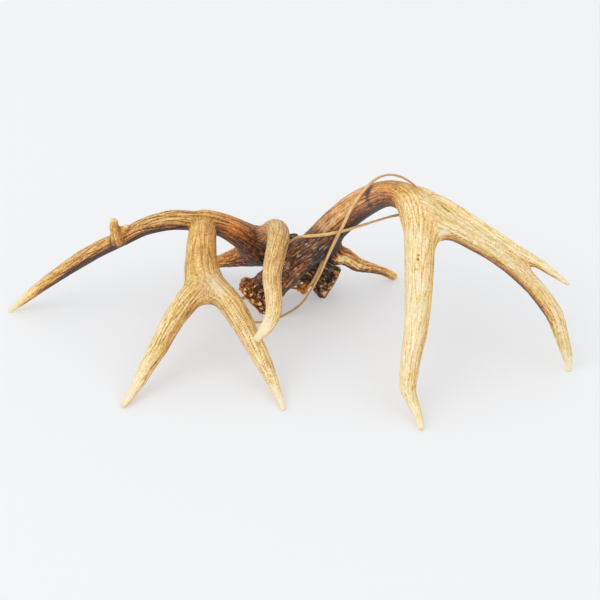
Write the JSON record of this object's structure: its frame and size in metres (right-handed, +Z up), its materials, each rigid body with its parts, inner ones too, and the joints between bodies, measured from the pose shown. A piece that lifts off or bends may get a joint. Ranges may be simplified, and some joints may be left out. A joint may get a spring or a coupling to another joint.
{
  "type": "tied pair of deer antlers",
  "caption": "Pair of shed deer antlers with burred bases, curved beams and forked tines, crossed at the bases and tied together with a leather lace.",
  "frame": {"origin": "on the ground, below the middle of the pair's bounding box without the lace", "axes": "+X from the left antler's tip to the right antler's tips, -Y towards the viewer, +Z up"},
  "size_m": [0.6401, 0.2934, 0.1633],
  "materials": {
    "right_antler": "satin, dark brown and pearled at the base, golden tan beams, cream tines",
    "left_antler": "satin, dark brown and pearled at the base, golden tan beams, cream tips",
    "lace": "smooth tan leather"
  },
  "bodies": {
    "root": {"right_beam": "right_antler", "right_brow_tine": "right_antler", "right_front_tine": "right_antler", "right_beam_end": "right_antler", "right_back_tine": "right_antler", "left_beam": "left_antler", "left_brow_tine": "left_antler", "left_guard_tine": "left_antler", "left_fork_stem": "left_antler", "left_beam_end": "left_antler", "left_fork_outer_tine": "left_antler", "left_fork_inner_tine": "left_antler", "lace": "lace", "lace_knot": "lace"}
  },
  "joints": []
}
